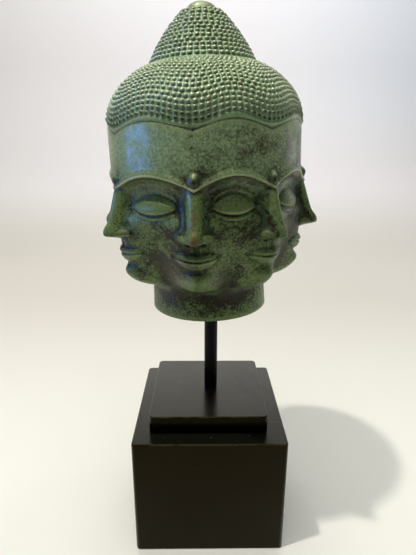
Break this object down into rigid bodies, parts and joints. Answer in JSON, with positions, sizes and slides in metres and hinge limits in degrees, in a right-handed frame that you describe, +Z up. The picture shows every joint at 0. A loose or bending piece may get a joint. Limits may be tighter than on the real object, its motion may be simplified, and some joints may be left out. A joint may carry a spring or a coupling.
{
  "type": "many-faced buddha head on a stand",
  "caption": "Cast brass head with calm faces all round it that share their eyes, rows of tight curls and a domed crown, held by a rod over a stepped black block.",
  "frame": {"origin": "centre of the block's underside", "axes": "+Z up along the rod; -Y towards the front, the side the picture shows; +X to the right of it"},
  "size_m": [0.1666, 0.1675, 0.4154],
  "materials": {
    "patinated_brass": "green patina over dark brown, satin, worn lighter on edges",
    "black_wood": "satin black paint",
    "black_steel": "satin black"
  },
  "bodies": {
    "root": {"block": "black_wood", "step": "black_wood", "rod": "black_steel", "head": "patinated_brass"}
  },
  "joints": []
}
